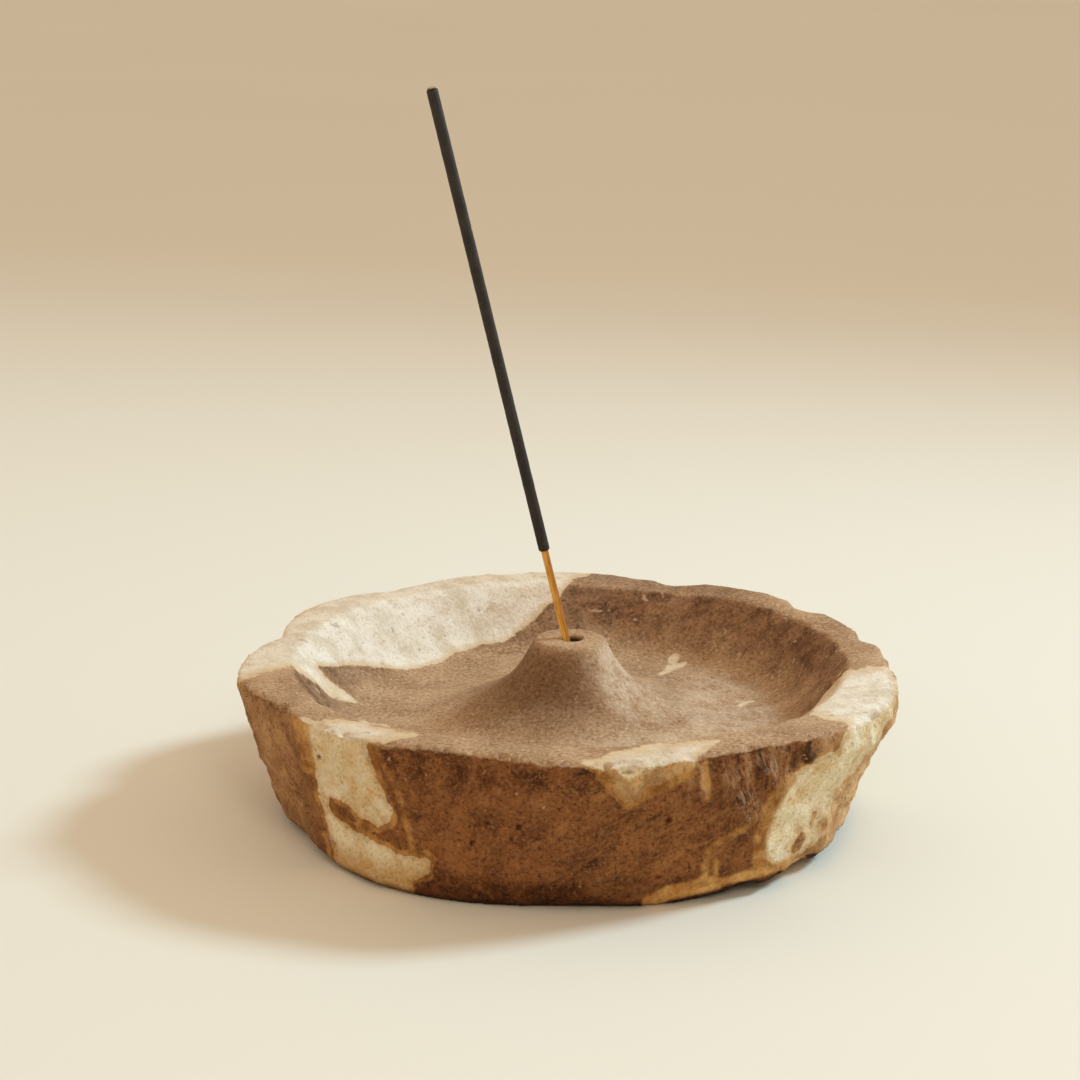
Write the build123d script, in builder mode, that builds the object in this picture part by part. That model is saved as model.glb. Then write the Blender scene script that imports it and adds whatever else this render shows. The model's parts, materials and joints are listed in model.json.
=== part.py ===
"""Incense stick holder: a dish turned in a riven block of veined stone, with a stick leaning in its cone.

Millimetres, +Z up. The origin lies on the base, under the cone's middle, and +X is the holder's right side.
"""

import os
from math import atan2, cos, pi, radians, sin

from build123d import *

os.makedirs("parts", exist_ok=True)

# Stone block, sawn flat above and below and broken all round
rim_radius = 63.0  # mean radius of the broken outline at the rim
base_radius = 56.0  # mean radius of the outline where the block stands
rim_height = 29.0
wall_swell = 1.2  # how far the broken wall swells or hollows halfway up, at most
foot_tuck = 5.0  # how far the wall's foot is drawn in, clear of the floor, on one side
foot_tuck_angle = -40  # degrees from +X to the middle of that side
foot_tuck_span = 84  # degrees that it covers

# Outlines in even steps from +X, counter-clockwise, as shares of the two mean radii
rim_shares = (
    0.981, 0.967, 0.967, 0.971, 0.973, 0.992, 1.002, 0.998, 0.987, 0.990, 0.994, 0.967,
    1.010, 1.035, 0.994, 1.003, 1.005, 1.002, 1.038, 1.027, 1.017, 1.048, 1.054, 1.030,
)
base_shares = (
    0.950, 0.943, 0.946, 0.955, 0.973, 0.991, 1.009, 1.009, 0.991, 0.982, 0.982, 0.973,
    0.996, 1.021, 1.018, 1.059, 1.086, 1.077, 1.052, 1.082, 1.084, 1.056, 1.025, 0.975,
)
# Swells and hollows halfway up the wall at the same steps, as shares of the deepest
swell_shares = (
    -0.1, -0.5, 0.4, 0.8, -0.3, -0.9, 0.2, 0.7, -0.4, -0.2, 0.9, 0.3,
    -0.2, -0.5, 0.4, 0.1, -0.4, -0.8, 0.3, -0.5, 0.4, -0.5, -0.2, -0.3,
)
# Height on the wall, and how far it has spread there from the base outline to the rim outline
wall_spread_shares = ((0.0, 0.0), (0.1, 0.24), (0.5, 0.62), (0.86, 0.98), (1.0, 1.0))

# Round chips broken out of the rim's outer edge: angle in degrees, and share of the deepest bite
chip_radius = 9.0
chip_bite = 3.2
chip_slant = 32  # degrees above the horizon from which a chip is struck
chip_bite_shares = ((10, 0.5), (34, 0.85), (66, 1.0), (129, 0.4), (166, 0.4))

# Dish, turned round the cone's axis
dish_radius = 54.2  # at the crest, where the dish meets the rim
dish_depth = 12.4  # from the rim down to the floor
dish_wall_run = 9.7  # how far the wall slopes inwards on its way down
dish_foot_reach = 6.8  # how far from their corner the floor starts to sweep up into the wall
crest_bevel = 0.7  # height of the bevel that breaks the crest's edge

# Cone in the middle of the dish
cone_rise = 3.4  # how far the cone stands above the rim
cone_top_radius = 7.1
cone_top_bevel = 0.5
floor_ring_width = 4.7  # flat floor between the cone's foot and the sweep up into the dish's wall
# The cone's flared flank between its bevelled top and its foot: shares of its run and of its drop
flank_shares = ((0.11, 0.335), (0.21, 0.535), (0.34, 0.68), (0.54, 0.84), (0.77, 0.96))

# Hole drilled for the stick
hole_diameter = 3.9
hole_depth = 10.3
hole_offset = 0.5  # by which it was drilled to the right of the cone's middle
mouth_wear = 0.3  # by which the hole's mouth is worn open

# Incense stick: a bamboo core with a rolled paste coat and a burnt end
core_diameter = 1.5
core_end_chamfer = 0.15
bare_length = 28.6  # bamboo left bare below the paste
paste_diameter = 2.2
paste_length = 91.0
paste_end_taper = 0.3
ash_diameter = 1.7
ash_length = 0.6
ash_crumble = 0.3  # by which the ash's edge has crumbled away
seat_clearance = 0.04  # between the stick and the stone where it stands and leans

overrun = 5.0  # by which cuts pass the stone

# What follows from those sizes
cone_top = rim_height + cone_rise
dish_floor = rim_height - dish_depth
foot_radius = dish_radius - dish_wall_run
sweep_radius = foot_radius - dish_foot_reach
cone_foot_radius = sweep_radius - floor_ring_width
hole_radius = hole_diameter / 2
core_radius = core_diameter / 2
paste_radius = paste_diameter / 2
ash_radius = ash_diameter / 2
step_count = len(rim_shares)
step_angle = 360 / step_count


def wall_radius(step, level, spread):
    """Radius of the broken wall at one step of the outline and a share of the rim's height."""
    base = base_radius * base_shares[step]
    rim = rim_radius * rim_shares[step]
    swell = wall_swell * swell_shares[step] * sin(pi * level)
    return base + (rim - base) * spread + swell


def foot_tuck_at(angle):
    """How far the wall's foot is drawn in at an angle in degrees."""
    aside = (angle - foot_tuck_angle + 180) % 360 - 180
    return foot_tuck * cos(pi * aside / foot_tuck_span) ** 2 if abs(aside) < foot_tuck_span / 2 else 0


def wall_outline(level, spread):
    """Points of the block's closed outline at a share of the rim's height."""
    points = []
    for step in range(step_count):
        angle = step_angle * step
        radius = wall_radius(step, level, spread) - (foot_tuck_at(angle) if level == 0 else 0)
        points.append(Vector(radius, 0).rotate(Axis.Z, angle))
    return points


def chip_centre(angle, bite):
    """Centre of the round chip that bites this deep into the rim's outer edge at an angle in degrees."""
    step, part = divmod(angle / step_angle, 1)
    before, after = rim_shares[int(step)], rim_shares[(int(step) + 1) % step_count]
    edge = rim_radius * (before + (after - before) * part)
    outside = chip_radius - bite
    slant = radians(chip_slant)
    return Vector(edge + outside * cos(slant), 0, rim_height + outside * sin(slant)).rotate(Axis.Z, angle)


def room_beside_stick(angle):
    """Room left across the hole when the stick stands in it at a lean in degrees."""
    lean = radians(angle)
    across = (hole_diameter - seat_clearance) * cos(lean) - core_radius * cos(2 * lean)
    down = (hole_depth - mouth_wear - seat_clearance) * sin(lean)
    return across - down - core_radius - seat_clearance


def resting_lean():
    """Lean in degrees at which the stick stands on the hole's floor and touches its mouth and far side."""
    upright, steep = 0, 45
    while steep - upright > 1e-9:
        middle = (upright + steep) / 2
        if room_beside_stick(middle) > 0:
            upright = middle
        else:
            steep = middle
    return upright


# Stone bowl: the broken block, the dish and cone turned in it, the chips and the drilled hole
wall_levels = wall_spread_shares + (((cone_top + overrun) / rim_height, 1.0),)
chips = [chip_centre(angle, share * chip_bite) for angle, share in chip_bite_shares]
flank_top = cone_top - cone_top_bevel
flank_run = cone_foot_radius - cone_top_radius
flank_drop = flank_top - dish_floor
flank_points = [
    (cone_top_radius + run * flank_run, flank_top - drop * flank_drop)
    for run, drop in ((0, 0), *flank_shares, (1, 1))
]
wall_slope = atan2(dish_depth, dish_wall_run)
sweep_start = (sweep_radius, dish_floor)
sweep_end = (foot_radius + dish_foot_reach * cos(wall_slope), dish_floor + dish_foot_reach * sin(wall_slope))
crest_inset = crest_bevel * dish_wall_run / dish_depth
sky = cone_top + 2 * overrun

with BuildPart() as stone_bowl:
    for level, spread in wall_levels:
        with BuildSketch(Plane.XY.offset(level * rim_height)):
            with BuildLine():
                Spline(*wall_outline(min(level, 1), spread), periodic=True)
            make_face()
    loft(ruled=True)

    with BuildSketch(Plane.XZ):
        with BuildLine():
            flank = Spline(*flank_points)
            Line(flank @ 1, sweep_start)
            Bezier(sweep_start, (foot_radius, dish_floor), sweep_end)
            Polyline(
                sweep_end,
                (dish_radius - crest_inset, rim_height - crest_bevel),
                (dish_radius + crest_inset, rim_height),
                (2 * rim_radius, rim_height),
                (2 * rim_radius, sky),
                (0, sky),
                (0, cone_top),
                (cone_top_radius - cone_top_bevel, cone_top),
                flank @ 0,
            )
        make_face()
    revolve(axis=Axis.Z, mode=Mode.SUBTRACT)

    with Locations(*chips):
        Sphere(chip_radius, mode=Mode.SUBTRACT)
    with Locations((hole_offset, 0, cone_top)):
        CounterSinkHole(hole_radius, hole_radius + mouth_wear, hole_depth, counter_sink_angle=90)

stone_bowl.part.label = "stone_bowl"

# The stick's own plane: on the hole's floor, against its right side, leaning to the left
lean = resting_lean()
stick_foot = Vector(
    hole_offset + hole_radius - seat_clearance - core_radius * cos(radians(lean)),
    0,
    cone_top - hole_depth + seat_clearance + core_radius * sin(radians(lean)),
)
stick_plane = Plane(origin=stick_foot, x_dir=(1, 0, 0), z_dir=(0, 0, 1)).rotated((0, -lean, 0))
stick_axis = Axis(stick_foot, stick_plane.z_dir)
paste_plane = stick_plane.offset(bare_length)
ash_plane = paste_plane.offset(paste_length)

# Bamboo core, bare below and coated above
with BuildPart() as bamboo_core:
    with BuildSketch(stick_plane):
        Circle(core_radius)
    extrude(amount=bare_length + paste_length)
    chamfer(bamboo_core.edges().sort_by(stick_axis)[0], core_end_chamfer)

bamboo_core.part.label = "bamboo_core"

# Incense paste, rolled round the core, with a tapered lower end
with BuildPart() as incense_paste:
    with BuildSketch(paste_plane):
        Circle(paste_radius)
        Circle(core_radius, mode=Mode.SUBTRACT)
    extrude(amount=paste_length)
    lower_edges = incense_paste.edges().filter_by(GeomType.CIRCLE).group_by(stick_axis)[0]
    chamfer(lower_edges.sort_by(SortBy.RADIUS)[-1], paste_end_taper)

incense_paste.part.label = "incense_paste"

# Ash left on the burnt end, shrunk and crumbled at its edge
with BuildPart() as ash_tip:
    with BuildSketch(ash_plane):
        Circle(ash_radius)
    extrude(amount=ash_length)
    chamfer(ash_tip.edges().sort_by(stick_axis)[-1], ash_crumble)

ash_tip.part.label = "ash_tip"

print("stick foot", stick_foot, "axis", stick_plane.z_dir, "lean", lean)

export_step(stone_bowl.part, "parts/stone_bowl.step")
export_step(bamboo_core.part, "parts/bamboo_core.step")
export_step(incense_paste.part, "parts/incense_paste.step")
export_step(ash_tip.part, "parts/ash_tip.step")
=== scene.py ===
"""Looks of the incense stick holder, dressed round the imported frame.

Everything stands in metres in the frame's own axes: X to the holder's right, Y away from the camera, Z up.
The surfaces of the stone and the stick are worked out in millimetres.
"""

import json
from math import cos, pi, radians, sin

import bmesh
import bpy
import numpy as np
from mathutils import Matrix, Vector, noise


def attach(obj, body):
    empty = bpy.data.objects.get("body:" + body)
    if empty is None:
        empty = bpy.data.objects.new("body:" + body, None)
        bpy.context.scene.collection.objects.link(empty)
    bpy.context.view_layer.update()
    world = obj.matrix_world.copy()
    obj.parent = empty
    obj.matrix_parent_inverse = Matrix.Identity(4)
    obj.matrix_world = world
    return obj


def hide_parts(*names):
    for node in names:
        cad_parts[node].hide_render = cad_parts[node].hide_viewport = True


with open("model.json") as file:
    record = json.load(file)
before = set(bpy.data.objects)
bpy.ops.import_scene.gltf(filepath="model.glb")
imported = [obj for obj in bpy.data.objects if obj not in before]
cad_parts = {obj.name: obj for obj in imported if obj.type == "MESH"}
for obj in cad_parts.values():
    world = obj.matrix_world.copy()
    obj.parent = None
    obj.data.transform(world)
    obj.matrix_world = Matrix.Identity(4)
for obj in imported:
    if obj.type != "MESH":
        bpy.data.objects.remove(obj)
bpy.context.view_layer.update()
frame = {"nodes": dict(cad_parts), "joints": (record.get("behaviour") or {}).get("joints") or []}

MM = 0.001

# Camera
image_side = 1080.0
lens = 85.0
sensor = 36.0
camera_pitch = radians(14.5)
camera_depth = 500.7 * MM  # from the camera to the cone's top, along the view
near_clip = 10 * MM
cone_top_point = Vector((0, 0, 32.45 * MM))
cone_top_pixel = (569.5, 637.5)
focal_pixels = lens / sensor * image_side

# Light: a soft key from the right and a little behind, whose beam ends behind the holder, a fill from the
# front and a warm room
key_point = Vector((1.12, 0.41, 0.93))
key_radius = 0.15
key_watts = 69.5
key_colour = (0.63, 0.89, 1.08)
key_aim = Vector((-3.0, -2.65, 0.0))
key_beam = radians(107)
key_beam_edge = 0.62
fill_point = Vector((0.35, -1.15, 1.0))
fill_side = 0.45
fill_watts = 3.4
fill_colour = (1.0, 0.86, 0.70)
room_colour = (0.99, 0.79, 0.605)
room_low = 0.88  # light that comes in level
room_high = 0.64  # light from straight above
room_lean = (-0.20, 0.19, 0.0)  # the room is brighter this way

floor_reach = 6.0

# Stone, in millimetres
voxel = 0.6  # side of the small quads that carry its relief
rim_height = 29.0
rim_edge_radius = 57.0  # the rim's outer edge lies beyond this radius
rim_edge_height = 20.0  # and above this height
dish_crest = 54.2  # radius at which the dish meets the rim
hole_offset = 0.5  # by which the hole lies to the right of the cone's middle
base_skin = 0.3  # what lies lower than this is set on the flat base
weld_distance = 0.001
rim_passes = 3  # by which the rim's outer edge is smoothed more than the rest

# Relief of the stone, in millimetres
wall_lumps = ((0.35, 16, 1, 2), (0.30, 5, 2, 3), (0.20, 1.8, 3, 2))  # height, size, seed and octaves
wall_facets = ((0.20, 12, 1), (0.32, 5, 2))  # share of the leans, size and seed
facet_edge_share = 0.3  # of a facet's size, over which it runs out at its edge
tool_mark_depth = 0.5
tool_mark_width = 2.0
dish_swell = 0.12
dish_roughness = 0.05
steep_roughness = 0.25
turned_ring_depth = 0.07
turned_ring_pitch = 2.3
right_lean = 1.3  # by which the wall's right end leans in below
left_lean = 1.2
foot_wear = 1.2  # by which the wall's foot is worn round
foot_wear_height = 2.5
crest_wear = 1.2  # by which the dish's crest is worn off, at most
crest_width = 2.6
nick_width = 1.5  # of the nicks along the rim's outer edge
nick_depth = 0.72
crumbs = ((1.56, 3.2, 9, 2), (1.2, 1.4, 15, 2))  # depth, size, seed and octaves of the small nicks in front
rim_slice_height = 0.5  # the rim's edge is found among points this near to its height
rim_slice_turn = 1.5  # and this near, in degrees, to an angle
rim_swings = ((0.35, 3, 0.6), (0.25, 7, 2.0))  # height, number and phase of the waves round the rim
guide_reach = 20  # how far from their edges the veins and stains are measured

# What sets the noises of one seed apart from those of the next
grain_shift = Vector((17.3, 5.1, 11.7))
facet_shift = Vector((7.9, 13.3, 3.7))
facet_scatter = 13.7

# Stick, in millimetres
core_radius = 0.75
core_end_radius = 0.45
core_end_height = 0.18
core_rings = 240
core_sides = 28
paste_radius = 1.1
paste_bore = 0.76
paste_rounding = 0.5  # of its lower end
paste_arc_steps = 8
paste_rings = 260
paste_sides = 32
ash_radius = 0.85
ash_sides = 36
# Height on the ash and its radius there, as shares
ash_shares = (
    (0, 1.0), (0.15, 1.0), (0.3, 0.99), (0.45, 0.97), (0.58, 0.92), (0.7, 0.84), (0.8, 0.72), (0.9, 0.52),
    (0.97, 0.28),
)
fibre_tilt = -13.3  # degrees, the lean of the bamboo's fibres

# Pale veins, outlined in the photograph's pixels
back_vein = (
    (225, 650), (230, 683), (243, 679), (263, 673), (291, 666), (309, 678), (327, 693), (340, 701),
    (358, 703), (340, 690), (327, 679), (318, 667), (342, 666), (363, 665), (383, 669), (399, 670),
    (421, 667), (439, 662), (457, 653), (475, 648), (495, 643), (513, 637), (521, 630), (536, 617),
    (547, 606), (558, 596), (564, 588), (573, 580), (591, 575), (597, 571), (600, 555), (420, 545),
)
left_vein = (
    (304, 720), (342, 720), (363, 722), (393, 729), (418, 735), (383, 744), (366, 744), (373, 759),
    (376, 777), (386, 795), (392, 810), (388, 823), (378, 828), (363, 818), (342, 801), (330, 798),
    (332, 814), (347, 823), (373, 841), (398, 856), (416, 856), (433, 859), (431, 874), (414, 882),
    (414, 900), (373, 895), (336, 872), (331, 846), (328, 826), (323, 808), (318, 785), (316, 764),
    (308, 741),
)
front_vein = (
    (583, 762), (616, 752), (655, 745), (688, 741), (720, 740), (708, 750), (697, 757), (693, 770),
    (675, 777), (660, 787), (647, 785), (642, 798), (624, 803), (616, 795), (609, 775), (586, 765),
)
right_vein = (
    (808, 715), (845, 670), (866, 667), (889, 667), (900, 688), (892, 713), (879, 741), (859, 764),
    (838, 786), (827, 812), (816, 841), (799, 860), (776, 866), (764, 857), (766, 831), (775, 806),
    (786, 783), (806, 765), (835, 751), (852, 724),
)
dish_fleck = ((669, 662), (670, 656), (675, 652), (680, 655), (680, 661), (674, 664))
dish_chip = ((659, 674), (668, 667), (687, 661), (686, 665), (673, 671), (663, 675))
dish_streak = ((735, 707), (745, 701), (755, 701), (745, 706))
pale_veins = (back_vein, left_vein, front_vein, right_vein, dish_fleck, dish_chip, dish_streak)

# Ochre stains on the broken wall: half width and line, in the photograph's pixels
ochre_stains = (
    (2.5, ((374, 748), (388, 772), (400, 800), (408, 826), (413, 852))),
    (4, ((704, 752), (705, 775), (708, 797))),
    (7, ((648, 903), (668, 893), (695, 887), (716, 883))),
    (4, ((716, 883), (745, 876), (775, 868), (802, 858))),
    (3, ((703, 888), (705, 866), (711, 846), (728, 838), (746, 828))),
    (2.5, ((717, 886), (716, 862), (712, 848))),
    (6, ((759, 864), (761, 838), (771, 806), (790, 779))),
    (6, ((298, 714), (304, 740), (309, 768))),
    (3, ((625, 808), (655, 792), (688, 776))),
    (10, ((606, 774), (627, 794), (650, 781), (684, 770))),
)

# Darker patches of the broken wall, in the same way
dark_patches = (
    (15, ((392, 752), (420, 765), (456, 776))),
    (13, ((487, 775), (530, 782), (600, 780))),
    (18, ((722, 772), (730, 800), (735, 824))),
    (12, ((780, 756), (802, 752))),
    (13, ((430, 880), (500, 893), (580, 893))),
)

# Patches of the broken wall with fine pale striations, in the same way
striated_patches = (
    (13, ((738, 778), (746, 798), (752, 812))),
    (9, ((764, 758), (776, 768), (786, 774))),
    (5, ((701, 758), (703, 780), (705, 797))),
)

# Brown islands in the right vein, in the same way
brown_islands = ((4.5, ((793, 850), (798, 845), (803, 836))), (3.0, ((809, 828), (812, 821), (815, 814))))

# Small dark pits: half width and place
dark_pits = (
    (4, (519, 827)), (3, (487, 823)), (3, (472, 843)), (3, (319, 757)), (4, (669, 820)), (3, (658, 878)),
)


def smooth(low, high, value):
    """Rises smoothly from 0 at low to 1 at high."""
    part = np.clip((value - low) / (high - low), 0, 1)
    return part * part * (3 - 2 * part)


def turn_from(angles, middle):
    """How far each angle is from a middle one, in degrees, whichever way round."""
    return np.abs((angles - middle + 180) % 360 - 180)


def grain(points, size, seed, octaves=1):
    """Smooth noise about zero at each point, with lumps of one size in the points' own unit."""
    places = [Vector(point) / size + grain_shift * seed for point in points.tolist()]
    return np.array([noise.fractal(place, 1.0, 2.0, octaves) for place in places])


def facets(points, size, seed):
    """Chips of one size: each cell of the stone leans its own way and meets the next at a blunt edge."""
    middle = Vector((0.5, 0.5, 0.5))
    leans = []
    for point in points.tolist():
        place = Vector(point) / size + facet_shift * seed
        distances, centres = noise.voronoi(place)
        lean = (place - centres[0]).dot(noise.cell_vector(centres[0] * facet_scatter) - middle)
        leans.append(lean * min(1, (distances[1] - distances[0]) / facet_edge_share))
    return np.array(leans) * size


# The camera first, because the stone's veins are laid through it
view_forward = Vector((0, cos(camera_pitch), -sin(camera_pitch)))
view_right = Vector((1, 0, 0))
view_up = view_right.cross(view_forward)
half_side = image_side / 2
aside = (cone_top_pixel[0] - half_side) / focal_pixels
above = (half_side - cone_top_pixel[1]) / focal_pixels
camera_point = cone_top_point - camera_depth * (view_forward + aside * view_right + above * view_up)


def make_camera():
    data = bpy.data.cameras.new("camera")
    data.lens = lens
    data.sensor_width = sensor
    data.clip_start = near_clip
    camera = bpy.data.objects.new("camera", data)
    turn = Matrix((view_right, view_up, -view_forward)).transposed().to_4x4()
    camera.matrix_world = Matrix.Translation(camera_point) @ turn
    bpy.context.scene.collection.objects.link(camera)
    bpy.context.scene.camera = camera


def to_pixels(points):
    """Where points in metres fall in the photograph, in pixels from its upper left corner."""
    away = points - np.array(camera_point)
    depth = away @ np.array(view_forward)
    across = half_side + focal_pixels * (away @ np.array(view_right)) / depth
    down = half_side - focal_pixels * (away @ np.array(view_up)) / depth
    return np.stack((across, down), 1)


def distance_to_line(spots, line):
    """Distance of each spot from a line of points, and how often a ray from the spot crosses it."""
    nearest = np.full(len(spots), np.inf)
    crossed = np.zeros(len(spots), int)
    for start, end in zip(line[:-1], line[1:]):
        start, end = np.array(start, float), np.array(end, float)
        run = end - start
        part = np.clip((spots - start) @ run / (run @ run), 0, 1)
        nearest = np.minimum(nearest, np.linalg.norm(spots - start - part[:, None] * run, axis=1))
        if run[1]:
            level = (spots[:, 1] - start[1]) / run[1]
            meets = spots[:, 0] < start[0] + level * run[0]
            crossed += ((start[1] > spots[:, 1]) != (end[1] > spots[:, 1])) & meets
    return nearest, crossed


def inside_distance(spots, outline):
    """Distance of each spot from a closed outline, above zero inside it."""
    nearest, crossed = distance_to_line(spots, outline + outline[:1])
    return np.where(crossed % 2, nearest, -nearest)


def store(mesh, name, values):
    """Keeps one number per point on a mesh, for its material to read."""
    layer = mesh.attributes.new(name, "FLOAT", "POINT")
    layer.data.foreach_set("value", values.astype(np.float32))


def mesh_points(mesh, what="co"):
    """Places or normals of a mesh's points, one row each."""
    values = np.empty(len(mesh.vertices) * 3, np.float32)
    mesh.vertices.foreach_get(what, values)
    return values.reshape(-1, 3).astype(float)


def add_piece(name, mesh, body, node, material):
    """Puts a mesh in the scene in place of a node of the frame."""
    piece = bpy.data.objects.new(name, mesh)
    bpy.context.scene.collection.objects.link(piece)
    mesh.materials.clear()
    mesh.materials.append(material)
    mesh.shade_smooth()
    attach(piece, body)
    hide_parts(node)


def paint(red, green, blue):
    """A colour as it shows on a screen, from 0 to 255, as the shader wants it."""
    shares = [part / 255 for part in (red, green, blue)]
    return (*[part / 12.92 if part <= 0.04045 else ((part + 0.055) / 1.055) ** 2.4 for part in shares], 1)


class Look:
    """A material's nodes, with short ways to add and join them."""

    # Places of a colour mix's share, its two colours and its result among its sockets
    mix_share = 0
    mix_first = 6
    mix_second = 7
    mix_result = 2

    def __init__(self, name, roughness, specular):
        self.material = bpy.data.materials.new(name)
        self.material.use_nodes = True
        self.tree = self.material.node_tree
        self.shader = self.tree.nodes["Principled BSDF"]
        self.shader.inputs["Roughness"].default_value = roughness
        self.shader.inputs["Specular IOR Level"].default_value = specular

    def node(self, kind, inputs, output=0, **settings):
        """Adds a node, joins or sets its inputs and gives one of its outputs."""
        made = self.tree.nodes.new("ShaderNode" + kind)
        for key, value in settings.items():
            setattr(made, key, value)
        for key, value in inputs.items():
            if isinstance(value, bpy.types.NodeSocket):
                self.tree.links.new(value, made.inputs[key])
            else:
                made.inputs[key].default_value = value
        return made.outputs[output]

    def plus(self, first, second):
        return self.node("Math", {0: first, 1: second}, operation="ADD")

    def times(self, first, *others):
        """The product of all the values."""
        for other in others:
            first = self.node("Math", {0: first, 1: other}, operation="MULTIPLY")
        return first

    def line(self, value, slope, start):
        """The value times a slope, plus a start."""
        return self.node("Math", {0: value, 1: slope, 2: start}, operation="MULTIPLY_ADD")

    def rise(self, value, low, high):
        """From 0 where the value is low to 1 where it is high."""
        inputs = {"Value": value, "From Min": low, "From Max": high}
        return self.node("MapRange", inputs, interpolation_type="SMOOTHSTEP")

    def mix(self, share, first, second, blend="MIX"):
        """The first colour, and by a share the second, or what the blend makes of both."""
        inputs = {self.mix_share: share, self.mix_first: first, self.mix_second: second}
        return self.node("Mix", inputs, self.mix_result, data_type="RGBA", blend_type=blend)

    def over(self, lower, upper, *shares):
        """The lower colour with the upper one laid over it, by the product of the shares."""
        return self.mix(self.times(*shares), lower, upper)

    def tint(self, colour, by, *shares):
        """The colour times another one, by the product of the shares."""
        return self.mix(self.times(*shares), colour, by, blend="MULTIPLY")

    def noise(self, place, size, detail=2.0, twist=0.0, fine=0.5):
        """Noise from 0 to 1 with lumps of a size in the place's unit, and a share of finer lumps."""
        inputs = {"Vector": place, "Scale": 1 / size, "Detail": detail}
        inputs |= {"Distortion": twist, "Roughness": fine}
        return self.node("TexNoise", inputs, "Fac")

    def place(self, tilt=0, stretch=(1, 1, 1)):
        """Millimetres on the object, in axes tilted about Y by degrees and stretched along them."""
        where = self.node("TexCoord", {}, "Object")
        scale = tuple(MM * part for part in stretch)
        inputs = {"Vector": where, "Rotation": (0, radians(tilt), 0), "Scale": scale}
        return self.node("Mapping", inputs, vector_type="TEXTURE")

    def kept(self, name):
        """A number that the mesh keeps at each point."""
        return self.node("Attribute", {}, "Fac", attribute_name=name)

    def bump(self, height, distance, strength):
        inputs = {"Height": height, "Distance": distance, "Strength": strength}
        self.tree.links.new(self.node("Bump", inputs), self.shader.inputs["Normal"])

    def colour(self, socket):
        self.tree.links.new(socket, self.shader.inputs["Base Color"])


# Stone bowl: its material, then its shape


class StoneLook(Look):
    """The stone's nodes, with the noises and places that its colours share."""

    def __init__(self):
        super().__init__("stone", roughness=0.92, specular=0.18)
        self.here = self.place()
        slanted = self.place(tilt=-30, stretch=(3.4, 1, 0.7))
        self.tone = self.noise(self.here, size=14, detail=3, twist=0.5)
        self.rock = self.noise(self.here, size=5, detail=9, twist=0.3, fine=0.66)
        self.grit = self.noise(self.here, size=0.7, detail=4, fine=0.7)
        self.streak = self.noise(slanted, size=3.2, detail=6, twist=0.4, fine=0.65)
        self.light_grain = self.rise(self.grit, 0.51, 0.68)
        self.dark_grain = self.rise(self.grit, 0.49, 0.32)
        self.fleck = self.rise(self.noise(self.here, size=2.2, detail=1), 0.70, 0.76)
        self.broken = self.kept("broken")
        self.pale_side = self.kept("pale_side")
        self.painted_foot_shade = self.kept("painted_foot_shade")

    def mottled(self, low, high, dark, light):
        """Two colours in clouds, from the dark one where the rock's noise is low to the light one."""
        return self.mix(self.rise(self.rock, low, high), dark, light)


def ground_brown(look):
    """Ground brown stone of the dish, the cone and the rim, with painted shade on the dish's steep side and
    on one side of the cone, and painted light on the cone's other side and on the dish's floor there.
    """
    ground = look.mix(look.rise(look.tone, 0.3, 0.7), paint(162, 127, 92), paint(189, 155, 119))
    ground = look.over(ground, paint(216, 188, 154), look.light_grain, 0.7)
    ground = look.over(ground, paint(112, 82, 57), look.dark_grain, 0.75)
    # Painted shade: darker on the side of the cone to which the stick leans
    ground = look.tint(ground, paint(182, 171, 161), look.kept("stain_and_painted_shade"))
    grained = look.line(look.light_grain, 0.4, 0.6)
    # Painted light: lighter clouds on the cone's right side and on the dish's floor beside it
    painted_light = look.times(look.kept("painted_light"), look.rise(look.rock, 0.36, 0.60), grained)
    ground = look.over(ground, paint(221, 201, 174), painted_light, 0.95)
    # Painted shade: darker colours on the dish's steep side
    side = look.mottled(0.35, 0.65, paint(95, 64, 42), paint(150, 112, 81))
    side = look.over(side, paint(172, 132, 97), look.light_grain, 0.55)
    side = look.over(side, paint(64, 40, 25), look.dark_grain, 0.75)
    steep = look.kept("steep")
    ground = look.over(ground, side, steep, 0.95)
    return look.over(ground, paint(214, 190, 160), look.fleck, steep, 0.6)


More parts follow.
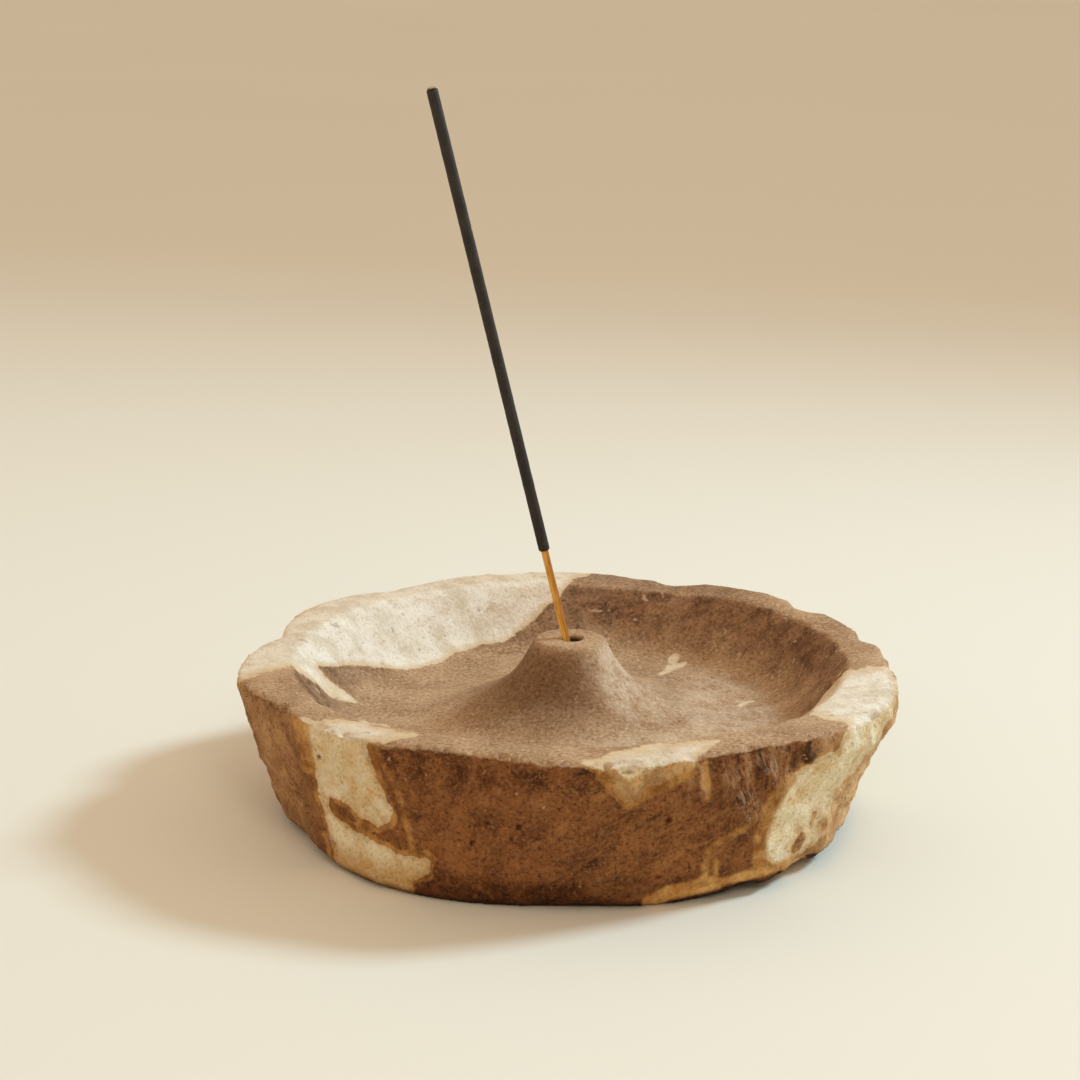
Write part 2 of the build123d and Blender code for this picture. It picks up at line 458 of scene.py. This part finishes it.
def broken_brown(look):
    """Broken brown stone of the wall: clouds, slanting streaks, upright tool marks, paler ends with painted
    light at the right one, and painted shade at its foot.
    """
    # Paler towards the wall's ends, at the right end as painted light
    deep = look.mix(look.pale_side, paint(119, 75, 43), paint(190, 140, 90))
    clear = look.mix(look.pale_side, paint(165, 108, 62), paint(250, 210, 150))
    wall = look.mottled(0.34, 0.66, deep, clear)
    wall = look.over(wall, paint(142, 88, 52), look.rise(look.tone, 0.4, 0.8), 0.4)
    riven = look.kept("riven")
    wall = look.over(wall, paint(174, 120, 70), riven, look.rise(look.streak, 0.52, 0.70))
    wall = look.over(wall, paint(66, 40, 24), riven, look.rise(look.streak, 0.46, 0.28))
    marks = look.kept("marks")
    cut = look.noise(look.place(stretch=(1, 1, 10)), size=1.7, detail=3)
    wall = look.over(wall, paint(70, 42, 27), marks, look.rise(cut, 0.5, 0.34))
    wall = look.over(wall, paint(180, 138, 98), marks, look.rise(cut, 0.55, 0.72))
    wall = look.tint(wall, paint(192, 180, 170), look.kept("shade"), look.rise(look.rock, 0.75, 0.35))
    wall = look.over(wall, paint(178, 130, 86), look.light_grain, 0.6)
    wall = look.over(wall, paint(60, 37, 23), look.dark_grain, 0.75)
    chip = look.rise(look.noise(look.here, size=1.5, detail=2), 0.70, 0.76)
    wall = look.over(wall, paint(208, 170, 134), chip, 0.6)
    # Painted shade: darker towards the wall's foot
    wall = look.tint(wall, paint(212, 202, 192), look.painted_foot_shade)
    # The pale tan of the wall's ends, at the right end painted light
    tan = look.mottled(0.34, 0.66, paint(196, 148, 102), paint(246, 204, 152))
    tan = look.over(tan, paint(142, 98, 62), look.dark_grain, 0.55)
    return look.over(wall, tan, look.pale_side, 0.65)


def ground_cream(look):
    """Pale stone where it is ground: clean, a little smeared, and worn on the rim."""
    cream = look.mottled(0.34, 0.60, paint(217, 203, 178), paint(239, 229, 211))
    cream = look.over(cream, paint(198, 174, 140), look.rise(look.streak, 0.54, 0.80))
    cream = look.over(cream, paint(172, 157, 132), look.dark_grain, 0.45)
    cream = look.over(cream, paint(138, 124, 104), look.fleck, 0.45)
    return look.tint(cream, paint(242, 235, 226), look.kept("worn"))


def broken_cream(look):
    """Pale stone where it is broken: yellower, and with painted shade at the wall's foot away from its right
    end.
    """
    cream = look.mottled(0.32, 0.66, paint(236, 200, 140), paint(255, 242, 206))
    cream = look.over(cream, paint(156, 122, 76), look.dark_grain, 0.55)
    cream = look.over(cream, paint(250, 238, 210), look.light_grain, 0.6)
    cream = look.over(cream, paint(210, 170, 104), look.rise(look.tone, 0.5, 0.66), 0.25)
    cream = look.over(cream, paint(255, 246, 224), look.rise(look.streak, 0.50, 0.64), 0.5)
    return look.tint(cream, paint(214, 184, 140), look.painted_foot_shade, look.line(look.pale_side, -1.0, 1.0), 0.85)


def ochre(look, dark, light, specks):
    """Golden stone in clouds of two colours, with dark specks."""
    return look.over(look.mottled(0.36, 0.64, dark, light), specks, look.dark_grain, 0.5)


def stone_material():
    look = StoneLook()
    gold = ochre(look, paint(152, 98, 46), paint(218, 166, 96), paint(112, 68, 34))
    foot_gold = ochre(look, paint(214, 150, 80), paint(255, 206, 128), paint(140, 88, 44))
    brown = look.mix(look.broken, ground_brown(look), broken_brown(look))

    # Veins end in a ragged line and are yellower just inside it
    wave = look.line(look.noise(look.here, size=5, detail=3), 2.0, -1.0)
    ragged = look.line(look.noise(look.here, size=1.2, detail=3), 1.0, -0.5)
    edge = look.plus(look.kept("vein"), look.plus(wave, ragged))
    smeared = look.over(ground_cream(look), paint(210, 178, 130), look.rise(edge, 1.7, 0.1), 0.65)
    raw = look.over(broken_cream(look), gold, look.rise(edge, 1.3, 0.2), 0.35)
    cream = look.mix(look.broken, smeared, raw)

    # Ochre stains on the broken wall, paler at its foot as painted light that lifts the shade there
    stain_and_painted_shade = look.rise(look.plus(look.kept("ochre"), look.times(wave, 0.5)), -0.45, 0.35)
    stain_and_painted_shade = look.times(stain_and_painted_shade, look.broken)
    cream = look.over(cream, gold, stain_and_painted_shade, 0.8)
    brown = look.over(brown, look.mix(look.painted_foot_shade, gold, foot_gold), stain_and_painted_shade, 0.9)

    # A golden band runs here and there along the veins, less of it at the wall's pale ends
    width = look.line(look.noise(look.here, size=8, detail=2, twist=0.5), 4.0, -1.4)
    band = look.rise(look.plus(edge, look.times(width, look.broken)), -0.3, 0.0)
    border = look.mix(look.broken, paint(200, 170, 130), gold)
    brown = look.over(brown, border, band, look.line(look.pale_side, -0.65, 0.8))
    stone = look.mix(look.rise(edge, -0.12, 0.12), brown, cream)

    # Fine pale striations, small dark pits, painted shade in the hole and painted shade on the underside,
    # where no stain covers it
    upright = look.place(tilt=-18, stretch=(0.4, 0.4, 4))
    stria = look.rise(look.noise(upright, size=1.1, detail=4, twist=0.3, fine=0.6), 0.44, 0.66)
    stone = look.over(stone, paint(220, 190, 162), stria, look.kept("striated"), 0.5)
    stone = look.tint(stone, paint(150, 116, 90), look.kept("pit"))
    # Painted shade inside the hole
    stone = look.tint(stone, paint(92, 80, 70), look.kept("painted_hole_shade"))
    # Painted shade under overhangs and where the wall meets the floor
    stone = look.tint(stone, paint(104, 84, 70), look.kept("under"), look.line(stain_and_painted_shade, -0.85, 1.0))
    look.colour(stone)

    # Grit all over, and coarser relief on the broken stone
    fine = look.times(look.line(look.grit, 1.0, -0.5), look.line(look.broken, 1.2, 0.6))
    coarse = look.times(look.line(look.rock, 1.0, -0.5), look.broken, 4.0)
    look.bump(look.plus(fine, coarse), distance=0.5 * MM, strength=0.9)
    return look.material


def soften(work, verts):
    """Smooths some points of a mesh halfway towards their neighbours."""
    bmesh.ops.smooth_vert(work, verts=verts, factor=0.5, use_axis_x=True, use_axis_y=True, use_axis_z=True)


def remeshed(node):
    """Even small quads over a node's solid, a little smoothed, with one face for its flat base."""
    mesh = node.data.copy()
    work = bmesh.new()
    work.from_mesh(mesh)
    bmesh.ops.remove_doubles(work, verts=work.verts, dist=weld_distance * MM)
    work.to_mesh(mesh)
    work.free()
    carrier = bpy.data.objects.new("carrier", mesh)
    bpy.context.scene.collection.objects.link(carrier)
    modifier = carrier.modifiers.new("even", "REMESH")
    modifier.mode = "VOXEL"
    modifier.voxel_size = voxel * MM
    even = bpy.data.meshes.new_from_object(carrier.evaluated_get(bpy.context.evaluated_depsgraph_get()))
    bpy.data.objects.remove(carrier)
    bpy.data.meshes.remove(mesh)

    work = bmesh.new()
    work.from_mesh(even)
    soften(work, work.verts)
    outer = [vert for vert in work.verts if vert.co.xy.length > rim_edge_radius * MM]
    rim = [vert for vert in outer if vert.co.z > rim_edge_height * MM]
    for _ in range(rim_passes):
        soften(work, rim)
    for vert in work.verts:
        if vert.co.z < base_skin * MM:
            vert.co.z = 0
    flat = [face for face in work.faces if all(vert.co.z == 0 for vert in face.verts)]
    bmesh.ops.dissolve_faces(work, faces=flat, use_verts=True)
    work.to_mesh(even)
    work.free()
    even.update()
    return even


class PlainStone:
    """The plain stone's points and normals, in millimetres, and where on the stone each of them lies."""

    def __init__(self, points, normals):
        self.points = points
        self.normals = normals
        self.x, self.y, self.z = points.T
        self.facing_up = normals[:, 2]
        self.radius = np.hypot(self.x, self.y)
        self.angles = np.degrees(np.arctan2(self.y, self.x))
        level = np.stack((self.x, self.y, np.zeros(len(points))), 1)
        self.spoke = level / np.maximum(self.radius, 0.01)[:, None]
        self.facing_out = (normals * self.spoke).sum(1)

        # The broken wall, the dish's steep side, and the tool marks below the rim on the right
        self.broken = smooth(0.0, 0.5, self.facing_out - self.facing_up) * smooth(44, 48, self.radius)
        in_dish = smooth(36, 42, self.radius) * smooth(0.1, -0.2, self.facing_out)
        self.steep = smooth(0.96, 0.75, self.facing_up) * in_dish
        self.marked = smooth(14, 25, self.z) * smooth(-80, -66, self.angles) * smooth(-12, -28, self.angles)


def wall_relief(stone):
    """Heights of the broken wall's lumps, facets and upright tool marks."""
    lumps = sum(height * grain(stone.points, *kind) for height, *kind in wall_lumps)
    chips = sum(share * facets(stone.points, *kind) for share, *kind in wall_facets)
    marks = tool_mark_depth * grain(stone.points * (1, 1, 0.1), tool_mark_width, 4)
    return lumps + chips + marks * stone.marked


def dish_relief(stone):
    """Heights of the ground dish: barely uneven, rougher where steep, with faint rings on the right."""
    calm = smooth(6, 16, stone.radius)
    relief = dish_swell * calm * grain(stone.points, 8, 6, 2)
    relief += dish_roughness * grain(stone.points, 1.6, 7, 2)
    relief += steep_roughness * stone.steep * grain(stone.points, 4.5, 8, 2)
    turned = smooth(24, 30, stone.radius) * smooth(46, 41, stone.radius) * smooth(-20, 10, stone.x)
    rings = np.sin(2 * pi * stone.radius / turned_ring_pitch + 3 * grain(stone.points, 14, 11))
    return relief + turned_ring_depth * turned * rings


def rim_radii(stone):
    """Radius of the rim's outer edge at each point's angle, from the points at its top near each degree."""
    degrees = np.arange(-180, 181, 1.0)
    top = np.abs(stone.z - rim_height) < rim_slice_height
    slices = [top & (turn_from(stone.angles, degree) < rim_slice_turn) for degree in degrees]
    return np.interp(stone.angles, degrees, [stone.radius[cut].max() for cut in slices])


def rim_nicks(stone):
    """Depths of the nicks along the rim's outer edge, with clusters of small ones in front."""
    apart = np.hypot(stone.radius - rim_radii(stone), stone.z - rim_height)
    cluster = smooth(0, -25, stone.y) * (0.6 + 0.6 * smooth(-0.1, 0.3, grain(stone.points, 9, 13)))
    small = sum(depth * np.maximum(grain(stone.points, *kind), 0) for depth, *kind in crumbs)
    nicks = cluster * small + nick_depth * np.maximum(grain(stone.points, 12, 10), 0)
    return nicks * np.exp(-((apart / nick_width) ** 2))


def weathered(stone):
    """The plain stone's points, moved to the broken and worn surface."""
    relief = stone.broken * wall_relief(stone) + (1 - stone.broken) * dish_relief(stone)
    moved = stone.points + stone.normals * (relief * smooth(0.0, 2.5, stone.z))[:, None]

    # Both ends of the wall lean in below, and its foot is worn round
    right_end = smooth(-46, -26, stone.angles) * smooth(24, 4, stone.angles)
    left_end = smooth(40, 20, turn_from(stone.angles, 185))
    lean_in = right_lean * right_end * smooth(25, 12, stone.z)
    lean_in += left_lean * left_end * smooth(15, 8, stone.z)
    foot = np.clip(1 - stone.z / foot_wear_height, 0, 1) ** 2
    moved -= (lean_in * stone.broken + foot_wear * foot)[:, None] * stone.spoke

    # The crest between dish and rim is worn off unevenly
    crest = np.exp(-(((stone.radius - dish_crest) / crest_width) ** 2)) * smooth(22, 27, stone.z)
    moved[:, 2] -= crest * np.clip(0.35 + 0.7 * grain(stone.points, 9, 12, 2), 0, crest_wear)

    # The rim's outer edge is nicked, and the rim rises and falls a little on its way round
    moved -= rim_nicks(stone)[:, None] * (stone.spoke + (0, 0, 1))
    turn = np.radians(stone.angles)
    swing = sum(height * np.sin(waves * turn + phase) for height, waves, phase in rim_swings)
    moved[:, 2] += swing * smooth(14, rim_height, stone.z) * smooth(47, 53, stone.radius)
    return moved


def stone_guides(stone):
    """Shares from 0 to 1 that say where the stone is broken, marked, worn, paler, and where it gets painted
    shade and painted light.
    """
    # Painted shade on the side of the cone to which the stick leans, painted light on its other side and on
    # the dish's floor there, painted shade in the hole
    on_cone = smooth(5.8, 8.5, stone.radius) * smooth(27, 11, stone.radius)
    stain_and_painted_shade = on_cone * smooth(104, 36, turn_from(stone.angles, -135))
    painted_light_turn = turn_from(stone.angles, -20)
    floor_painted_light = smooth(16, 26, stone.radius) * smooth(46, 38, stone.radius) * smooth(85, 45, painted_light_turn)
    painted_light = np.maximum(on_cone * smooth(60, 15, painted_light_turn), 0.6 * floor_painted_light)
    from_hole = np.hypot(stone.x - hole_offset, stone.y)
    # painted shade inside the hole
    painted_hole_shade = smooth(2.6, 2.1, from_hole) * smooth(32.3, 31.6, stone.z)

    # The dish's steep side is darkened as painted shade, more towards the crest, and the back of the rim is
    # darkened nearly as much; the rim is worn on the left
    back_rim = smooth(53, 56, stone.radius) * smooth(0.5, 0.9, stone.facing_up)
    back_rim *= smooth(40, 55, stone.angles) * smooth(98, 86, stone.angles)
    graded = 0.5 + 0.5 * smooth(18, 27, stone.z) + 0.35 * grain(stone.points, 5, 14, 3)
    steep = np.clip(np.maximum(stone.steep * graded, 0.6 * back_rim), 0, 1)
    worn = smooth(54, 56, stone.radius) * smooth(0.6, 0.9, stone.facing_up) * smooth(45, 15, stone.x)

    # Both ends of the wall are paler, the right one most, its paleness being painted light; what overhangs
    # or meets the floor is darkened as painted shade
    left_pale = smooth(-0.72, -0.92, stone.spoke[:, 0])
    right_pale = smooth(0.62, 0.80, stone.spoke[:, 0])
    # painted shade under overhangs and at the wall's foot
    overhang = smooth(-0.35, -0.7, stone.facing_up)
    contact = smooth(2.0, 0.6, stone.z)
    return {
        "broken": stone.broken,
        "marks": stone.marked * stone.broken,
        "stain_and_painted_shade": stain_and_painted_shade,
        "painted_light": painted_light,
        "painted_hole_shade": painted_hole_shade,
        "steep": steep,
        "worn": worn,
        "pale_side": np.maximum(0.3 * left_pale, right_pale),
        "riven": smooth(-108, -88, stone.angles) * smooth(-18, -36, stone.angles),
        # painted shade, darker towards the wall's foot
        "painted_foot_shade": stone.broken * smooth(9, 1, stone.z),
        "under": stone.broken * np.maximum(overhang, 0.7 * contact),
    }


def photo_guides(points):
    """Millimetres inside the veins and stains, and shares of the patches and pits, at points in metres."""
    spots = to_pixels(points)
    pixel = np.linalg.norm(points - np.array(camera_point), axis=1) / focal_pixels / MM

    def inside_lines(lines):
        return np.max([width - distance_to_line(spots, line)[0] for width, line in lines], 0) * pixel

    def near_lines(lines):
        widths_away = [distance_to_line(spots, line)[0] / width for width, line in lines]
        return smooth(1.2, 0.4, np.min(widths_away, 0))

    vein = np.max([inside_distance(spots, outline) for outline in pale_veins], 0) * pixel
    vein = np.minimum(vein, -inside_lines(brown_islands))
    pits = [np.linalg.norm(spots - np.array(spot), axis=1) / width for width, spot in dark_pits]
    return {
        "vein": np.clip(vein, -guide_reach, guide_reach),
        "ochre": np.clip(inside_lines(ochre_stains), -guide_reach, guide_reach),
        "shade": near_lines(dark_patches),
        "striated": near_lines(striated_patches),
        "pit": smooth(1.0, 0.6, np.min(pits, 0)),
    }


def make_bowl():
    mesh = remeshed(frame["nodes"]["stone_bowl"])
    stone = PlainStone(mesh_points(mesh) / MM, mesh_points(mesh, "normal"))
    moved = weathered(stone) * MM
    mesh.vertices.foreach_set("co", moved.astype(np.float32).ravel())
    mesh.update()
    for guides in (stone_guides(stone), photo_guides(moved)):
        for name, values in guides.items():
            store(mesh, name, values)
    add_piece("stone_bowl_broken", mesh, "bowl", "stone_bowl", stone_material())


# Incense stick, along the line of the joint on which it is lifted

stick_axis = Vector(frame["joints"][0]["axis"]).normalized()
stick_across = Vector((0, 1, 0)).cross(stick_axis).normalized()
stick_side = stick_axis.cross(stick_across)


def node_reach(name):
    """Where a node of the stick starts and ends along the stick's line, and a point on that line."""
    points = mesh_points(frame["nodes"][name].data)
    reaches = [points @ np.array(line) for line in (stick_axis, stick_across, stick_side)]
    lows, highs = [float(reach.min()) for reach in reaches], [float(reach.max()) for reach in reaches]
    middle = (lows[1] + highs[1]) / 2 * stick_across + (lows[2] + highs[2]) / 2 * stick_side
    return lows[0] / MM, highs[0] / MM, middle


def even_rings(low, high, count, radius):
    """Rings of one radius in even steps, from just above the low end to the high end."""
    return [(low + (high - low) * step / count, radius) for step in range(1, count + 1)]


def ring_mesh(name, middle, rings, sides, roughen, closed=False):
    """A tube of rings along the stick: each ring is a place along it and a radius, both in millimetres."""
    work = bmesh.new()

    def ring_points(along, radius):
        """Points round one ring, or a single one where its radius is zero."""
        loop = []
        for step in range(sides if radius else 1):
            turn = 2 * pi * step / sides
            reach = roughen(along, turn, radius) if radius else 0
            spoke = cos(turn) * stick_across + sin(turn) * stick_side
            loop.append(work.verts.new(middle + (along * stick_axis + reach * spoke) * MM))
        return loop

    loops = [ring_points(along, radius) for along, radius in rings]
    pairs = list(zip(loops, loops[1:])) + ([(loops[-1], loops[0])] if closed else [])
    for lower, upper in pairs:
        for step in range(sides):
            after = (step + 1) % sides
            corners = [lower[step % len(lower)], lower[after % len(lower)]]
            corners += [upper[after % len(upper)], upper[step % len(upper)]]
            work.faces.new(list(dict.fromkeys(corners)))
    bmesh.ops.recalc_face_normals(work, faces=work.faces)
    mesh = bpy.data.meshes.new(name)
    work.to_mesh(mesh)
    work.free()
    return mesh


def bamboo_material():
    look = Look("bamboo", roughness=0.45, specular=0.4)
    fibre = look.noise(look.place(fibre_tilt, stretch=(1, 1, 25)), size=0.22, detail=3)
    blotch = look.noise(look.place(), size=5, detail=3)
    wood = look.mix(look.rise(fibre, 0.32, 0.68), paint(198, 134, 40), paint(250, 200, 96))
    wood = look.over(wood, paint(168, 106, 30), look.rise(blotch, 0.55, 0.75))
    # Darker on the stick's right side: the pith, and painted shade across the stick
    look.colour(look.tint(wood, paint(188, 152, 112), look.kept("pith_and_painted_shade")))
    look.bump(fibre, distance=0.08 * MM, strength=0.5)
    return look.material


def make_core():
    start, end, middle = node_reach("bamboo_core")
    shoulder = start + core_end_height
    rings = [(start, 0), (start, core_end_radius), (shoulder, core_radius)]
    rings += even_rings(shoulder, end, core_rings, core_radius) + [(end, 0)]

    def split(along, turn, radius):
        """Uneven along its fibres, and a little flat, in a slow twist."""
        fibre = noise.noise(Vector((3 * cos(turn), 3 * sin(turn), along / 14)))
        return radius * (0.97 + 0.05 * fibre - 0.03 * cos(2 * turn + along / 40))

    mesh = ring_mesh("bamboo_core_split", middle, rings, core_sides, split)
    reach = (mesh_points(mesh) - np.array(middle)) @ np.array(stick_across) / MM / core_radius
    # Darker towards the stick's right side: the pith, and painted shade across the stick
    store(mesh, "pith_and_painted_shade", smooth(-0.3, 0.9, reach))
    add_piece("bamboo_core_split", mesh, "stick", "bamboo_core", bamboo_material())


def paste_material():
    look = Look("paste", roughness=0.62, specular=0.45)
    crumb = look.noise(look.place(), size=0.3, detail=3)
    tone = look.noise(look.place(), size=4, detail=3)
    black = look.mix(look.rise(tone, 0.3, 0.7), paint(24, 18, 13), paint(42, 33, 25))
    black = look.over(black, paint(76, 62, 48), look.rise(crumb, 0.58, 0.78))
    black = look.over(black, paint(15, 11, 8), look.rise(crumb, 0.40, 0.28))
    look.colour(black)
    look.bump(crumb, distance=0.12 * MM, strength=0.6)
    return look.material


def make_paste():
    start, end, middle = node_reach("incense_paste")
    coat = paste_radius - paste_bore
    arc = [pi / 2 * step / paste_arc_steps for step in range(paste_arc_steps + 1)]
    rings = [(start + paste_rounding * (1 - cos(turn)), paste_bore + coat * sin(turn)) for turn in arc]
    rings += even_rings(start + paste_rounding, end, paste_rings, paste_radius)
    rings += [(end, paste_bore), (start + paste_rounding, paste_bore)]

    def rolled(along, turn, radius):
        """Lumps and crumbs outside, and a plain bore."""
        if radius <= paste_bore:
            return radius
        lump = noise.noise(Vector((cos(turn), sin(turn), along / 2.5)))
        crumb = noise.noise(Vector((3.5 * cos(turn), 3.5 * sin(turn), along * 1.6)))
        return radius * (1 + 0.025 * lump + 0.018 * crumb)

    mesh = ring_mesh("incense_paste_rolled", middle, rings, paste_sides, rolled, closed=True)
    add_piece("incense_paste_rolled", mesh, "stick", "incense_paste", paste_material())


def ash_material():
    look = Look("ash", roughness=0.95, specular=0.1)
    flake = look.noise(look.place(), size=0.4, detail=4)
    grey = look.mix(look.rise(flake, 0.35, 0.65), paint(92, 82, 70), paint(196, 186, 166))
    look.colour(look.tint(grey, paint(90, 78, 66), look.kept("char")))
    look.bump(flake, distance=0.2 * MM, strength=0.9)
    return look.material


def make_ash():
    start, end, middle = node_reach("ash_tip")
    length = end - start
    rings = [(start + level * length, share * ash_radius) for level, share in ash_shares]
    rings = [(start, 0), *rings, (end, 0)]

    def crumbled(along, turn, radius):
        point = Vector((2.2 * cos(turn), 2.2 * sin(turn), along * 2.4))
        return radius * (1 + 0.14 * noise.fractal(point, 1.0, 2.0, 3))

    mesh = ring_mesh("ash_tip_crumbled", middle, rings, ash_sides, crumbled)
    along = (mesh_points(mesh) @ np.array(stick_axis) / MM - start) / length
    store(mesh, "char", smooth(0.75, 0.2, along))
    add_piece("ash_tip_crumbled", mesh, "stick", "ash_tip", ash_material())


# Floor and light


def floor_material():
    look = Look("floor", roughness=0.9, specular=0.1)
    cloud = look.noise(look.place(), size=500, detail=2)
    look.colour(look.mix(cloud, paint(228, 225, 210), paint(233, 230, 216)))
    return look.material


def make_floor():
    mesh = bpy.data.meshes.new("floor")
    corners = [(-floor_reach, -floor_reach, 0), (floor_reach, -floor_reach, 0)]
    corners += [(floor_reach, floor_reach, 0), (-floor_reach, floor_reach, 0)]
    mesh.from_pydata(corners, [], [(0, 1, 2, 3)])
    mesh.materials.append(floor_material())
    floor = bpy.data.objects.new("floor", mesh)
    bpy.context.scene.collection.objects.link(floor)


def add_lamp(name, kind, watts, colour, point, aim):
    """Adds a lamp that points at its aim, and gives its data."""
    light = bpy.data.lights.new(name, kind)
    light.energy = watts
    light.color = colour
    lamp = bpy.data.objects.new(name, light)
    lamp.location = point
    lamp.rotation_euler = (aim - point).to_track_quat("-Z", "Y").to_euler()
    bpy.context.scene.collection.objects.link(lamp)
    return light


def make_lamps():
    key = add_lamp("key", "SPOT", key_watts, key_colour, key_point, key_aim)
    key.shadow_soft_size = key_radius
    key.spot_size = key_beam
    key.spot_blend = key_beam_edge
    fill = add_lamp("fill", "AREA", fill_watts, fill_colour, fill_point, cone_top_point)
    fill.size = fill_side


def make_room():
    """A warm room, dimmer above than level with the floor, and brighter to one side."""
    world = bpy.data.worlds.new("room")
    world.use_nodes = True
    nodes, links = world.node_tree.nodes, world.node_tree.links
    direction = nodes.new("ShaderNodeTexCoord").outputs["Generated"]
    split = nodes.new("ShaderNodeSeparateXYZ")
    links.new(direction, split.inputs[0])
    level = nodes.new("ShaderNodeMapRange")
    level.inputs["To Min"].default_value = room_low
    level.inputs["To Max"].default_value = room_high
    links.new(split.outputs["Z"], level.inputs["Value"])
    lean = nodes.new("ShaderNodeVectorMath")
    lean.operation = "DOT_PRODUCT"
    lean.inputs[1].default_value = room_lean
    links.new(direction, lean.inputs[0])
    strength = nodes.new("ShaderNodeMath")
    strength.operation = "MULTIPLY_ADD"
    links.new(lean.outputs["Value"], strength.inputs[0])
    for place in (1, 2):
        links.new(level.outputs[0], strength.inputs[place])
    sky = nodes["Background"]
    sky.inputs["Color"].default_value = (*room_colour, 1)
    links.new(strength.outputs[0], sky.inputs["Strength"])
    bpy.context.scene.world = world


make_camera()
make_lamps()
make_room()
make_floor()
make_bowl()
make_core()
make_paste()
make_ash()
bpy.context.scene.view_settings.view_transform = "Standard"
